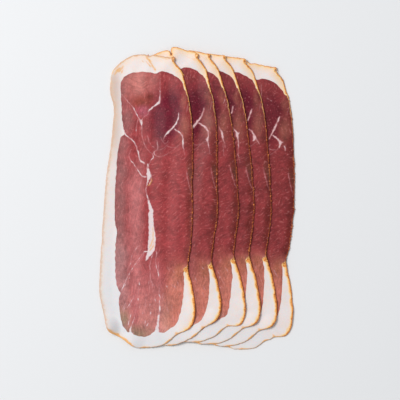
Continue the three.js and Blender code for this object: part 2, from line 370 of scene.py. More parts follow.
# %% Routes over the slice: x, y and width
SEAMS = {
    "shoulder muscle, left": [(-23.4, 94.6, 0.35), (-17.8, 88.1, 0.5), (-11.8, 80.8, 0.7),
        (-7.8, 72.9, 0.9), (-6.2, 71.0, 1.2)],
    "three-way meeting": [(-7.1, 71.6, 1.2), (-5.5, 70.1, 2.6), (-5.3, 68.3, 1.6), (-5.0, 65.9, 0.5)],
    "shoulder muscle, right": [(11.3, 107.2, 0.3), (11.4, 96.1, 0.6), (11.1, 90.8, 1.0),
        (10.5, 86.9, 2.0), (9.0, 85.3, 1.9), (5.8, 83.1, 1.2), (3.0, 80.8, 1.3), (0.5, 78.3, 0.7)],
    "below it": [(1.8, 78.8, 0.35), (0.5, 76.1, 0.4), (-2.0, 74.4, 0.5), (-4.0, 72.4, 0.5),
        (-5.1, 70.8, 0.8)],
    "down from the meeting, left": [(-8.2, 71.6, 0.5), (-9.2, 67.6, 0.55), (-9.9, 64.0, 0.6),
        (-9.9, 59.5, 0.4), (-10.0, 55.2, 0.3)],
    "down from the meeting, right": [(-5.0, 65.9, 0.5), (-4.9, 61.4, 0.55), (-4.6, 56.5, 0.55),
        (-3.5, 52.1, 0.6), (-2.0, 48.2, 0.45), (0.4, 44.7, 0.35), (2.8, 42.0, 0.4)],
    "whorl, left": [(0.1, 57.0, 0.6), (1.0, 53.8, 0.5), (2.0, 50.6, 0.4), (4.0, 48.1, 0.35),
        (6.0, 46.6, 0.6)],
    "whorl, right": [(8.5, 53.0, 0.35), (9.0, 49.4, 0.7), (9.4, 46.6, 0.8), (8.0, 44.2, 0.5),
        (6.1, 42.4, 0.7), (6.5, 40.0, 0.6)],
    "round muscle": [(6.5, 40.2, 0.6), (8.9, 38.7, 0.5), (11.9, 38.4, 0.5), (15.8, 39.8, 0.45),
        (19.1, 41.7, 0.3), (22.7, 44.1, 0.3), (27.8, 48.2, 0.3)],
    "inner ring": [(11.8, 55.9, 0.3), (14.0, 51.4, 0.35), (17.6, 48.0, 0.4), (23.6, 46.5, 0.4),
        (30.4, 49.9, 0.3)],
    "inner ring, left": [(6.9, 44.0, 0.4), (12.7, 45.0, 0.35), (16.4, 47.4, 0.35), (19.7, 50.9, 0.3)],
    "twig": [(4.0, 41.7, 0.5), (5.2, 39.8, 0.6), (5.3, 37.8, 0.7), (3.9, 36.2, 0.6), (2.5, 33.8, 0.5),
        (1.5, 31.9, 0.7)],
    "in from the left fat": [(-21.2, 61.5, 2.4), (-20.6, 59.5, 1.7), (-18.8, 57.4, 1.1),
        (-16.3, 55.4, 1.0), (-13.8, 53.5, 0.9), (-11.7, 51.3, 1.0), (-10.1, 48.1, 1.1),
        (-9.0, 44.9, 1.1), (-7.8, 41.6, 1.3), (-7.3, 38.4, 1.2), (-6.5, 35.6, 1.2), (-4.9, 34.0, 1.5),
        (-2.6, 32.8, 1.3)],
    "left twig": [(-14.3, 44.9, 0.35), (-15.8, 41.7, 0.4), (-16.3, 38.3, 0.5), (-14.7, 35.2, 0.6),
        (-12.3, 32.3, 0.7), (-10.2, 29.1, 0.7), (-7.7, 25.4, 0.7), (-5.3, 21.9, 0.9), (-3.6, 20.8, 1.1),
        (-0.9, 20.3, 1.1)],
    "below the left twig": [(-4.9, 19.1, 0.4), (-6.0, 14.7, 0.5), (-7.0, 10.7, 0.4), (-8.0, 5.3, 0.35)],
    "middle, upper": [(0.4, 31.8, 1.3), (0.5, 28.5, 1.9), (1.0, 24.5, 3.2), (1.4, 21.1, 3.4),
        (0.4, 16.9, 1.4), (-0.7, 12.0, 0.7), (-1.2, 8.9, 0.8), (-0.2, 4.5, 1.0), (1.2, -0.9, 1.7),
        (2.5, -6.2, 2.7)],
    "middle, lower": [(2.5, -6.2, 2.7), (3.6, -10.0, 3.7), (3.1, -12.5, 4.3), (3.3, -18.2, 4.5),
        (3.6, -24.9, 5.0), (4.3, -31.8, 6.2), (4.0, -38.5, 6.6), (3.3, -44.0, 6.0), (1.9, -47.3, 4.4),
        (0.1, -50.7, 2.6), (-1.4, -53.8, 0.8)],
    "middle, prong": [(0.9, -45.4, 1.2), (-1.0, -45.7, 1.3), (-2.8, -45.6, 0.9)],
    "beside the middle": [(3.6, 22.8, 0.7), (3.3, 18.0, 0.9), (1.7, 13.3, 0.5)],
    "long slant": [(-2.8, -45.9, 0.5), (-6.3, -50.7, 0.6), (-10.5, -56.6, 0.6), (-13.9, -61.8, 0.6),
        (-16.8, -66.8, 0.7), (-19.1, -71.6, 0.8), (-21.3, -76.9, 1.0), (-22.7, -79.9, 1.4)],
    "long slant, twin": [(-2.6, -47.1, 0.4), (-4.9, -51.1, 0.5), (-7.4, -54.3, 0.45),
        (-10.2, -58.7, 0.35)],
    "fine slant": [(-6.7, -40.7, 0.35), (-8.8, -41.5, 0.5), (-10.5, -43.9, 0.6), (-12.7, -47.2, 0.4),
        (-14.0, -49.6, 0.6), (-14.5, -53.1, 0.4), (-15.0, -56.6, 0.5), (-17.4, -60.4, 0.5),
        (-18.9, -64.1, 0.35), (-20.6, -68.4, 0.4), (-21.4, -72.6, 0.3)],
    "under the middle": [(4.8, -47.6, 0.5), (3.6, -52.1, 0.5), (2.2, -57.9, 0.6), (2.4, -63.2, 0.55),
        (2.8, -69.3, 0.5), (3.5, -72.4, 0.8), (4.9, -74.4, 0.5), (6.3, -76.9, 0.4)],
    "right of it": [(7.8, -45.2, 0.6), (8.5, -47.7, 0.6), (7.7, -51.2, 0.4), (7.3, -54.0, 0.5),
        (7.9, -59.1, 0.7), (9.3, -62.3, 0.8), (9.9, -65.7, 1.1), (10.1, -69.0, 0.5)],
    "beside that": [(9.7, -55.6, 0.4), (9.9, -59.2, 0.5), (10.1, -62.3, 0.5)],
    "down to the lower fat": [(10.4, -75.0, 0.45), (10.6, -80.1, 0.5), (10.8, -85.8, 0.7),
        (10.8, -92.2, 0.9), (11.2, -96.8, 1.3), (10.5, -100.6, 1.5), (9.9, -104.2, 1.7),
        (9.3, -110.0, 2.1), (8.7, -113.7, 3.0), (8.5, -116.1, 4.2)],
    "dot": [(-7.3, -72.4, 0.5), (-7.2, -75.3, 0.7)],
    "under the dot": [(-7.7, -77.0, 0.35), (-8.0, -82.8, 0.4), (-8.1, -86.8, 0.4)],
    "lower dot": [(-8.2, -87.6, 0.9), (-8.3, -89.0, 0.7)],
    "lower left twig": [(-11.6, -84.7, 0.4), (-13.3, -88.5, 0.7), (-15.6, -92.2, 0.8),
        (-17.0, -94.5, 0.6), (-18.6, -95.6, 0.6), (-20.9, -94.3, 0.4), (-23.2, -93.1, 0.35)],
    "up from the lower fat": [(-9.5, -92.1, 0.35), (-9.9, -95.7, 0.4), (-11.1, -100.5, 0.55),
        (-11.5, -104.1, 0.5), (-12.4, -107.4, 0.9), (-13.6, -110.5, 0.8), (-15.0, -113.8, 1.3),
        (-15.1, -116.6, 2.2)],
    "fine line, lower": [(-0.9, -83.5, 0.4), (-1.4, -88.1, 0.4), (-1.6, -92.2, 0.45),
        (-2.2, -96.7, 0.4), (-3.0, -100.7, 0.35)],
    "fleck, lower right": [(14.4, -82.3, 0.4), (13.8, -86.3, 0.4), (13.0, -89.9, 0.3)],
    "second fleck": [(16.8, -91.8, 0.5), (17.2, -94.3, 0.5), (17.7, -97.2, 0.6)],
    "third fleck": [(17.4, -111.9, 0.5), (16.3, -113.9, 0.6), (15.0, -116.3, 0.6)],
    "fleck at the bottom": [(0.6, -109.5, 0.9), (-0.1, -111.2, 1.0), (-1.2, -112.5, 0.4),
        (-2.3, -113.6, 0.3)],
    "near the right rim": [(34.8, 26.3, 0.3), (35.1, 23.1, 0.5), (36.0, 18.2, 0.45), (37.6, 10.7, 0.35),
        (39.8, 6.4, 0.3)],
    "under the shoulder's rind": [(36.1, 84.7, 0.35), (35.5, 81.4, 0.4), (34.6, 77.8, 0.3)],
}
print(len(SEAMS), "seams on every slice")

# %% The forked seam of the right-hand muscle, different on each slice
FORKS = [
    [
        [(27.9, 77.0, 0.6), (27.4, 73.0, 1.0), (26.1, 68.7, 1.2), (23.4, 65.0, 1.3), (20.9, 62.3, 1.4),
         (18.9, 60.5, 1.7), (17.4, 58.8, 1.2), (15.8, 57.0, 0.7), (14.4, 54.1, 0.4), (14.3, 51.4, 0.4),
         (15.8, 49.9, 0.4), (17.5, 51.1, 0.35), (18.5, 52.3, 0.3)],
        [(24.3, 62.7, 0.9), (26.7, 61.1, 1.1), (29.2, 59.4, 1.1), (31.0, 56.8, 1.2), (31.7, 53.9, 1.2),
         (31.5, 49.5, 1.3), (31.9, 46.6, 0.8), (32.7, 43.4, 0.5), (33.2, 40.0, 0.3)],
    ],
    [
        [(29.0, 79.3, 0.5), (28.6, 76.5, 0.9), (26.7, 72.0, 1.3), (24.9, 69.2, 1.5), (22.8, 66.8, 1.7),
         (20.9, 64.3, 1.9), (18.8, 62.0, 1.9)],
        [(24.4, 66.0, 1.0), (26.8, 64.4, 1.4), (29.8, 62.3, 1.5), (31.6, 60.2, 1.5), (32.6, 57.8, 1.2),
         (32.7, 54.5, 1.0), (31.9, 51.0, 1.8), (32.3, 48.7, 1.1), (32.9, 45.3, 0.7), (33.5, 41.6, 0.5),
         (34.0, 38.0, 0.35)],
        [(31.9, 51.0, 1.4), (31.0, 51.4, 0.7), (29.9, 51.3, 0.4)],
    ],
    [
        [(28.4, 63.0, 0.5), (29.2, 60.7, 0.9), (30.7, 57.2, 1.5), (31.1, 53.4, 1.7), (31.4, 51.1, 0.9),
         (32.4, 46.9, 0.5), (32.8, 43.6, 0.3)],
        [(35.4, 86.8, 0.5), (34.7, 85.0, 0.6), (33.9, 83.1, 0.4)],
        [(30.8, 48.2, 0.3), (30.5, 41.9, 0.4), (30.5, 36.6, 0.3)],
    ],
    [
        [(28.6, 81.1, 0.9), (27.8, 77.8, 1.2), (26.8, 75.2, 0.9)],
        [(26.5, 63.1, 0.4), (28.0, 61.1, 0.7), (29.5, 59.4, 1.1), (30.4, 57.2, 2.0), (30.8, 54.8, 2.3),
         (31.0, 52.9, 1.2), (31.0, 47.4, 0.8), (30.2, 42.4, 0.45), (29.7, 38.0, 0.5),
         (30.3, 30.8, 0.35)],
        [(32.4, 57.4, 0.9), (31.4, 56.0, 1.4)],
    ],
    [
        [(27.9, 79.4, 1.0), (27.0, 76.7, 1.3), (26.0, 74.0, 1.2), (24.0, 69.7, 0.7)],
        [(24.8, 62.0, 0.7), (26.8, 60.2, 1.1), (28.4, 57.6, 1.3), (29.3, 54.9, 2.3), (29.0, 53.1, 2.1),
         (27.8, 51.5, 1.0)],
        [(29.6, 55.3, 1.6), (31.0, 52.5, 1.2), (32.4, 49.9, 0.6)],
        [(32.7, 49.4, 1.0), (33.1, 48.5, 0.7)],
    ],
    [
        [(28.0, 75.9, 1.0), (26.8, 72.9, 1.2), (25.3, 69.8, 1.2), (24.0, 66.6, 1.6), (22.8, 63.7, 1.3),
         (21.0, 60.1, 1.0), (19.2, 56.4, 0.9)],
        [(22.3, 59.3, 0.9), (24.8, 57.7, 1.3), (26.8, 55.8, 1.4), (28.6, 53.5, 2.4), (28.9, 52.2, 2.2)],
        [(28.9, 53.1, 1.8), (30.9, 53.3, 1.2)],
        [(28.8, 52.2, 1.6), (28.2, 50.1, 1.3), (27.9, 48.7, 0.9)],
        [(32.1, 50.0, 0.6), (32.8, 48.2, 1.1), (33.2, 46.2, 0.7)],
        [(16.7, 94.1, 0.5), (18.7, 92.8, 0.4), (20.5, 91.3, 0.6)],
    ],
]
print([len(fork) for fork in FORKS], "branches on the slices")

# %% Stains, folds and creases
# Golden stains in the fat of the topmost slice
STAINS = {
    "under the notch": [(-0.3, 129.4, 1.0), (-0.8, 127.4, 1.5), (1.0, 124.2, 1.2), (3.3, 121.0, 1.3),
        (6.3, 116.6, 1.8), (7.2, 115.2, 0.9)],
    "beside it": [(-1.9, 128.0, 0.7), (0.4, 125.5, 1.2), (2.6, 123.4, 1.3), (3.6, 122.3, 0.6)],
    "left of them": [(-1.2, 122.8, 0.8), (1.2, 120.4, 1.1), (3.4, 117.8, 0.7)],
    "top left": [(-25.4, 114.4, 1.8), (-23.6, 116.4, 2.2), (-21.4, 118.7, 1.0)],
    "top left, outer": [(-29.0, 111.6, 1.2), (-27.0, 114.8, 2.0), (-25.0, 117.0, 1.4)],
    "top left, inner": [(-24.0, 111.6, 0.6), (-22.8, 114.0, 1.0), (-21.8, 115.6, 0.5)],
    "spot": [(-4.2, 123.2, 0.9), (-3.3, 122.5, 0.9)],
    "along the top": [(2.2, 128.3, 0.7), (7.6, 127.4, 0.5), (12.9, 126.2, 0.7), (18.2, 124.2, 0.5)],
    "left, across": [(-32.0, 85.9, 0.5), (-28.5, 85.4, 0.5)],
    "left, across, lower": [(-32.0, 77.4, 0.4), (-28.9, 77.3, 0.4)],
    "streak in the middle seam": [(4.8, -24.0, 0.5), (5.0, -27.6, 1.0), (5.2, -33.4, 1.1),
        (4.4, -36.5, 1.0), (3.3, -39.5, 1.2), (2.2, -42.0, 0.9)],
    "streak beside it": [(5.8, -36.9, 0.5), (5.3, -40.7, 0.9), (3.6, -43.3, 1.1), (2.0, -45.0, 0.6)],
    "streak higher up": [(3.9, 19.6, 0.5), (3.6, 16.5, 0.8), (1.7, 13.7, 0.7), (0.1, 12.3, 0.4)],
}
# Golden folds in the fat of the second and third slices' shoulders
FOLDS = [
    [(19.4, 123.6, 0.4), (22.6, 120.4, 0.6), (25.6, 117.6, 0.6), (28.6, 113.6, 0.5)],
    [(21.0, 121.0, 0.35), (24.2, 117.4, 0.5), (27.8, 112.4, 0.4)],
    [(14.0, 124.6, 0.3), (18.4, 122.4, 0.45), (22.0, 119.2, 0.35)],
]
# Dark creases between muscles, on every slice
CREASES = {
    "round muscle": [(19.5, 43.4, 0.6), (23.0, 45.7, 0.8), (26.5, 49.2, 0.8), (28.8, 51.4, 0.7),
        (30.4, 52.9, 0.5)],
    "beside the fork": [(25.1, 64.9, 0.9), (22.9, 62.6, 0.7), (21.4, 61.0, 0.4)],
}
print(len(STAINS), "stains,", len(FOLDS), "folds,", len(CREASES), "creases")

# %% From routes to lines on a slice
STREAKS = 46
LINE_STEP = 0.4
LINE_WOBBLE = 0.22
SEAM_SOFT = 0.36


def waves(points, seed, length, count=14):
    """A smooth random field from -1 to 1, with waves of about one length."""
    rng = np.random.default_rng(seed)
    turn = rng.uniform(0, 2 * math.pi, count)
    pace = 2 * math.pi / (length * rng.uniform(0.7, 1.5, count))
    phase = rng.uniform(0, 2 * math.pi, count)
    x, y = points[:, :1], points[:, 1:2]
    total = np.sin((x * np.cos(turn) + y * np.sin(turn)) * pace + phase).sum(axis=1)
    return np.clip(total / math.sqrt(count) / 1.6, -1, 1)


def drifted(points, amount, length, *seeds):
    """Points pushed about a little by slow random waves, one seed for x and one for y."""
    return points + amount * np.column_stack([waves(points, seed, length) for seed in seeds])


def sideways(line):
    """Unit vectors to the left of a line at each of its points."""
    along = np.gradient(line[:, :2], axis=0)
    return np.column_stack([-along[:, 1], along[:, 0]]) / np.linalg.norm(along, axis=1)[:, None]


def dense_route(route, seed):
    """A route with many points, smooth between its named ones, and a little unsteady."""
    line = evenly(np.vstack([smooth_line(route, 8), route[-1:]]), LINE_STEP, False)
    line[:, :2] += sideways(line) * LINE_WOBBLE * waves(line, seed, 3.4)[:, None]
    width = np.maximum(line[:, 2], 0.2)
    line[:, 2] = width + np.minimum(0.3 * width, 0.34) * waves(line, seed + 1, 3.2)
    strength = np.clip(0.72 + 0.4 * waves(line, seed + 2, 6) + 0.25 * (width - 0.5), 0.3, 1)
    return np.column_stack([line, strength])


def route_strength(points, lines, soft=SEAM_SOFT):
    """How strongly a place shows one of these routes, from 0 to 1."""
    best = np.zeros(len(points))
    for line in lines:
        reach = line[:, 2].max() / 2 + soft + 0.5
        low, high = line[:, :2].min(0) - reach, line[:, :2].max(0) + reach
        near = np.flatnonzero(((points > low) & (points < high)).all(axis=1))
        if len(near) == 0:
            continue
        away = np.linalg.norm(points[near, None, :] - line[None, :, :2], axis=2)
        width, strength = line[away.argmin(axis=1), 2:].T
        strength = strength * ramp(away.min(axis=1) - width / 2, soft, -soft)
        best[near] = np.maximum(best[near], strength * np.clip(width / 0.7, 0.35, 1))
    return best


def streaks(index):
    """Short faint streaks of fat that fan out below the middle seam, as x, y and width."""
    rng = np.random.default_rng(300 + index)
    routes = []
    for _ in range(STREAKS):
        x, y = rng.uniform(-21, 27), rng.uniform(-116, -58)
        run = np.array([x - 2, y + 25]) * rng.uniform(0.05, 0.14)
        run += rng.normal(0, 0.5, 2)
        width = rng.uniform(0.4, 0.8)
        routes.append([(x, y, 0.2), (x + run[0] / 2, y + run[1] / 2, width), (x + run[0], y + run[1], 0.2)])
    return routes


def seam_lines(index):
    """The seams of one slice, each as a dense line of x, y and width."""
    routes = list(SEAMS.values()) + FORKS[index] + streaks(index)
    return [dense_route(route, 20 * index + 3 * number) for number, route in enumerate(routes)]


def stain_lines(index):
    """The golden stains of the topmost slice, and the folds of the next two."""
    routes = list(STAINS.values()) if index == 0 else FOLDS if index < 3 else []
    return [dense_route(route, 500 + 3 * number) for number, route in enumerate(routes)]


def crease_lines(index):
    """The dark creases of one slice."""
    return [dense_route(route, 700 + 9 * index + number) for number, route in enumerate(CREASES.values())]


print("lines on the topmost slice:", len(seam_lines(0)) + len(stain_lines(0)) + len(crease_lines(0)))

# %% [markdown]
# ## The slice as a mesh
#
# A slice is a thin solid with a soft, rounded edge. Its flat pattern is filled with triangles:
# rings of points just inside the outline for the roundness, points along the seams, and an even
# net between them, fine where the slice shows and coarse where others cover it. The pattern then
# gets a top and an underside at the heights worked out above. A grid with a Solidify modifier
# would be simpler, but its edges would be square and its seams ragged.

# %% The flat pattern
FINE = 0.8
COARSE_EVERY = 3
SHAKE = 0.12
HIDDEN_PAST = 4
EDGE_RADIUS = 0.85
EDGE_RINGS = (0.2, 0.5, 0.95)


def slice_outline(index):
    """The edge of a slice in its own frame, a little uneven, and the directions out of it."""
    ring = evenly(smooth_ring(outline_of(SLICES[index]), 10), 0.6)
    along = np.roll(ring, -1, axis=0) - np.roll(ring, 1, axis=0)
    outwards = np.column_stack([-along[:, 1], along[:, 0]])
    outwards /= np.linalg.norm(outwards, axis=1)[:, None]
    uneven = 0.25 * waves(ring, 40 + index, 14) + 0.16 * waves(ring, 60 + index, 4)
    return ring + outwards * uneven[:, None], outwards


def beneath(index, points):
    """How far inside an upper slice's edge each place of this slice lies. Negative shows."""
    world = placed(points, SLICES[index])
    depths = [sampled(SLICES[upper]["inside"], world) for upper in range(index)]
    return np.max(depths, axis=0) if depths else np.full(len(points), -np.inf)


def flat_pattern(index):
    """The triangles of a slice's flat pattern, in its own frame."""
    rng = np.random.default_rng(7 + index)
    ring, outwards = slice_outline(index)
    parts = [ring]
    for depth in EDGE_RINGS:
        inner = ring - outwards * depth
        parts.append(inner[inwards_of(inner, ring) > 0.8 * depth])
    low, high = ring.min(0), ring.max(0)
    rows = np.arange(low[1], high[1], FINE * math.sqrt(3) / 2)
    columns = np.arange(low[0], high[0], FINE)
    row, column = (a.ravel() for a in np.meshgrid(np.arange(len(rows)), np.arange(len(columns)),
                                                  indexing="ij"))
    net = np.column_stack([columns[column] + FINE / 2 * (row % 2), rows[row]])
    coarse = (row % (2 * COARSE_EVERY) == 0) & (column % COARSE_EVERY == 0)
    net = net[(beneath(index, net) < HIDDEN_PAST) | coarse]
    net = net + rng.uniform(-SHAKE, SHAKE, net.shape)
    parts.append(net[inwards_of(net, ring) > EDGE_RINGS[-1] + FINE * 0.6])
    for line in seam_lines(index) + stain_lines(index):
        half = line[:, 2:3] / 2
        for off in (half * 0, half + 0.22, -half - 0.22, half - 0.2, 0.2 - half):
            beside = (line[:, :2] + sideways(line) * off)[(np.abs(off) > 0.1)[:, 0] | (off[:, 0] == 0)]
            parts.append(beside[(inwards_of(beside, ring) > 1.2) & (beneath(index, beside) < HIDDEN_PAST)])
    points = np.vstack(parts)
    flat = delaunay_2d_cdt([Vector(p) for p in points], [], [list(range(len(ring)))], 1, 1e-5)
    return np.array([tuple(v) for v in flat[0]]), np.array(flat[2]), ring


print("points round one slice:", len(slice_outline(0)[0]))

# %% [markdown]
# ## Where each tone lies
#
# A slice of ham is several muscles side by side, each with its own red, and its rim is brown and
# dry in some places and golden in others. A painted mask would need a picture. Here every tone is
# made of soft blobs and ramps over the slice's own x and y, and kept as a number at each vertex.
# One band beside the right rim is painted shade, the shadow in a hollow there, made the same way.

# %% Tones of meat and rind over the slice
# A blob's numbers are the place of its middle on the slice and how far it reaches
TONE_DRIFT = 1.6


def slice_tones(points, index):
    """Where each tone of meat and fat, and the painted shade in one hollow, lies on a slice, from 0 to 1."""
    moved = drifted(points, TONE_DRIFT, 17, 5 + index, 25 + index)
    x, y = moved.T
    return {
        "dun": np.maximum(ramp(x, -15, -25) * (1 - 0.3 * ramp(y, -40, -70)),
                          0.85 * blob(moved, -21, 72, 13, 24)),
        "pale": np.maximum(bump((x + 11) / 11) * ramp(y, 48, 8),
                           0.68 * ramp(y, -40, -78) * ramp(x, 22, 8)),
        "dusty": 0.65 * ramp(x, -13, -22) * ramp(y, -22, -50) * ramp(y, -104, -84),
        "plum": (0.7 if index == 5 else 1) * np.clip(1.3 * blob(moved, 14, 70, 19, 36)
                                                     + blob(moved, 24, 80, 16, 32), 0, 1),
        "salmon": np.clip(blob(moved, -9, 106, 24, 26), 0, 1),
        "rust": blob(points, -6, 87, 14, 9),
        "rose": blob(points, -4, 79, 10, 8),
        "ember": blob(points, 2.4, 92, 6, 5.5),
        "apricot": ramp(y, -66, -112),
        "copper": ramp(x, 11, 26) * ramp(y, -42, -76) * ramp(y, -126, -108),
        "amber": 0.55 * blob(moved, 29.5, -64, 9, 11),
        "tan": np.clip(blob(moved, 33, 64, 9, 20) + 0.8 * blob(moved, 33, 88, 5, 12), 0, 1),
        "brick": (ramp(x - 0.045 * np.clip(y + 30, 0, 40), 30.5, 37.5) * ramp(y, -64, -54)
                  * (1 - 0.5 * blob(moved, 33, 66, 14, 26))),
        # Painted shade: a dark brown band stands for the shadow in a hollow between the seam near the right
        # rim and the rim.
        "slit_shade": 0.75 * ramp(points[:, 0] - 35.4 + 0.264 * (points[:, 1] - 24.6), 0, 0.8)
                * ramp(points[:, 1], 3, 10) * ramp(points[:, 1], 35, 22),
        "slanted": ramp(x, -3, 5) * ramp(y, -66, -44) * ramp(y, 66, 46),
        "olive": np.clip(blob(moved, -9, -118, 19, 9) + blob(moved, -22, -106, 8, 19), 0, 1),
        "blush": 0.8 * ramp(points[:, 0], -20, -30) * ramp(y, 24, 66) * ramp(y, 122, 104),
        "cool": (0.85 if index == 0 else 0.7) * ramp(y, 20, -90) * ramp(x, 32, 14),
    }


def rim_tones(points, inwards, index):
    """How much golden rind, brown crust and warm glow the edge has."""
    x, y = points.T
    shoulder = ramp(x, 20, 26) * ramp(y, 92, 100)
    heel = ramp(x, 26, 35) * ramp(y, -56, -63) * ramp(y, -122, -112)
    top = ramp(y, 108, 118) * (1 - shoulder)
    bare = ramp(x, 26, 33) * ramp(y, -62, -56) * ramp(y, 102, 92)
    left = ramp(x, -8, -26) * ramp(y, 116, 100)
    foot = ramp(y, -112, -118) * (1 - heel)
    patchy = 0.5 + 0.5 * waves(points, 31, 13)
    uneven = 1 + 0.4 * waves(points, 33, 6)
    width = uneven * (0.7 + 1.9 * shoulder + 2.9 * heel + (1.3 if index == 0 else 2.0) * top
                      + 0.6 * bare + 2.6 * left + 3.8 * foot * patchy**3)
    amount = np.clip(shoulder + heel + 0.85 * top + bare + 0.45 * left
                     + foot * (0.55 + 0.45 * patchy), 0, 1)
    cap = np.clip(1.6 * blob(points, 35.2, -61.7, 4.2, 3.4), 0, 1)
    glow = (ramp(inwards, 6 if index == 0 else 3.5, 1) * heel * (0.6 + 0.4 * ramp(y, -84, -60))
            + ramp(inwards, 9, 1) * shoulder * 0.85
            + ramp(inwards, 9, 0.3) * top * (0.4 if index == 0 else 0.75)
            + ramp(inwards, 6, 0.5) * left * 0.3 + ramp(inwards, 3.5, 0.3) * foot * patchy * 0.4)
    outer = left + (0.7 if index == 0 else 0.2) * top
    return {"rind": np.maximum(amount * ramp(inwards, width, 0), cap),
            "crust": bare * ramp(y, 104, 52), "outer": np.clip(outer, 0, 1), "foot": foot,
            "glow": np.clip(glow, 0, 1)}


print("tones:", list(slice_tones(np.zeros((1, 2)), 0)))

# %% Build the slices
LEAN_DRIFT = 0.35
SLOW_RELIEF, FAT_RELIEF, RIND_RELIEF = 0.06, 0.1, 0.1


def build_slice(index):
    """One slice as a closed mesh, with its tones in attributes of its vertices."""
    flat, faces, ring = flat_pattern(index)
    inwards = np.maximum(inwards_of(flat, ring), 0)
    lean_points = np.array(LEAN_OUTLINE, float)
    lean_points[:, 0] -= SLICES[index].get("heel", 0) * blob(lean_points, 31, -95, 14, 28)
    lean_points[:, 1] += SLICES[index].get("lean_low", 0) * blob(lean_points, 19, -112, 22, 20)
    lean_ring = evenly(smooth_ring(lean_points, 4), 1.2)
    in_lean = inwards_of(drifted(flat, LEAN_DRIFT, 6, 80 + index, 90 + index), lean_ring)
    kept = {
        "lean": in_lean,
        "seam": route_strength(flat, seam_lines(index)),
        "halo": route_strength(flat, seam_lines(index), 1.3),
        "stain": route_strength(flat, stain_lines(index), 0.5),
        "crease": route_strength(flat, crease_lines(index), 0.5),
        "deep": SLICES[index]["dark"] * (1 - 0.8 * ramp(flat[:, 1], -45, -85)),
        **slice_tones(flat, index),
        **rim_tones(flat, inwards, index),
    }
    world = placed(flat, SLICES[index])
    half = THICKNESS / 2
    round_off = half * np.sqrt(1 - (1 - np.clip(inwards / EDGE_RADIUS, 0, 1)) ** 2)
    middle = underside(index, world) + half
    relief = SLOW_RELIEF * waves(flat, 11 + index, 9) + FAT_RELIEF * ramp(in_lean, 0.6, -0.6)
    relief = relief + RIND_RELIEF * kept["rind"]
    top = middle + round_off + relief * np.clip(inwards / EDGE_RADIUS, 0, 1)
    below = middle - round_off
    edge = inwards < 1e-4
    under = np.where(edge, np.arange(len(flat)), len(flat) + np.cumsum(~edge) - 1)
    heights = np.concatenate([np.where(edge, middle, top), below[~edge]])
    places = np.column_stack([np.vstack([world, world[~edge]]), heights])
    a, b, c = flat[faces].transpose(1, 0, 2)
    turned = (b - a)[:, 0] * (c - a)[:, 1] - (b - a)[:, 1] * (c - a)[:, 0] < 0
    faces[turned] = faces[turned][:, ::-1]
    mesh = bpy.data.meshes.new(f"slice_{index + 1}")
    mesh.from_pydata(places * MM, [], np.vstack([faces, under[faces][:, ::-1]]))
    mesh.shade_smooth()
    for name, values in kept.items():
        layer = mesh.attributes.new(name, "FLOAT", "POINT")
        layer.data.foreach_set("value", np.concatenate([values, values[~edge]]).astype(np.float32))
    own = np.column_stack([flat, np.full(len(flat), 37.0 * index)])
    layer = mesh.attributes.new("own_place", "FLOAT_VECTOR", "POINT")
    layer.data.foreach_set("vector", np.vstack([own, own[~edge]]).astype(np.float32).ravel())
    piece = bpy.data.objects.new(mesh.name, mesh)
    bpy.context.scene.collection.objects.link(piece)
    print(piece.name, len(mesh.polygons), "triangles")
    return piece


slices = [build_slice(index) for index in range(len(SLICES))]

# %% [markdown]
# ## Writing shader nodes as sums
#
# A material is a network of nodes. Making it with the mouse is pleasant but can't be kept in a
# script, and plain Python for each node and link is long. Here one small class stands for a
# node's output, so that arithmetic on it adds the Math nodes, and one method adds any other node.

# %% A wire between shader nodes
def srgb(red, green, blue):
    """A colour as an eye or a screen counts it, 0 to 255, in the linear light that nodes use."""
    channels = [c / 255 for c in (red, green, blue)]
    return (*[c / 12.92 if c <= 0.04045 else ((c + 0.055) / 1.055) ** 2.4 for c in channels], 1)


class Wire:
    """One output of a material's node. Arithmetic on it adds Math nodes."""

    def __init__(self, tree, socket=None):
        self.tree, self.socket = tree, socket

    def node(self, kind, settings=None, inputs=None, output=0):
        """Adds a node, sets it up, fills or links its sockets, and gives one of its outputs."""
        made = self.tree.nodes.new(kind)
        for name, value in (settings or {}).items():
            setattr(made, name, value)
        for name, value in (inputs or {}).items():
            if isinstance(value, Wire):
                self.tree.links.new(value.socket, made.inputs[name])
            else:
                made.inputs[name].default_value = value
        return Wire(self.tree, made.outputs[output]) if len(made.outputs) else made

    def maths(self, operation, first, second=0.0):
        return self.node("ShaderNodeMath", {"operation": operation}, {0: first, 1: second})

    def __add__(self, other):
        return self.maths("ADD", self, other)

    def __radd__(self, other):
        return self.maths("ADD", other, self)

    def __sub__(self, other):
        return self.maths("SUBTRACT", self, other)

    def __rsub__(self, other):
        return self.maths("SUBTRACT", other, self)

    def __mul__(self, other):
        return self.maths("MULTIPLY", self, other)

    def __rmul__(self, other):
        return self.maths("MULTIPLY", other, self)

    def smooth(self, start, end):
        """0 before the start, 1 past the end, smooth between."""
        return self.node("ShaderNodeMapRange", {"interpolation_type": "SMOOTHSTEP"},
                         {"Value": self, "From Min": start, "From Max": end})

    def tint(self, plain, tinted):
        """Mixes two colours: plain where this is 0, tinted where it is 1."""
        return self.node("ShaderNodeMix", {"data_type": "RGBA", "clamp_factor": True},
                         {0: self, 6: plain, 7: tinted}, output=2)

    def scaled(self, amount):
        """This colour or vector times a number."""
        return self.node("ShaderNodeVectorMath", {"operation": "SCALE"}, {0: self, "Scale": amount})

    def drawn_out(self, degrees, length, width):
        """This place, for a pattern whose spots are drawn out in one direction of the slice."""
        return self.node("ShaderNodeMapping", {"vector_type": "TEXTURE"},
                         {"Vector": self, "Scale": (length, width, 1),
                          "Rotation": (0, 0, math.radians(degrees))})

    def noise(self, size, detail=2.0, roughness=0.5):
        """Soft random spots about as large as size, in the units of this place."""
        return self.node("ShaderNodeTexNoise", None,
                         {"Vector": self, "Scale": 1 / size, "Detail": detail, "Roughness": roughness})


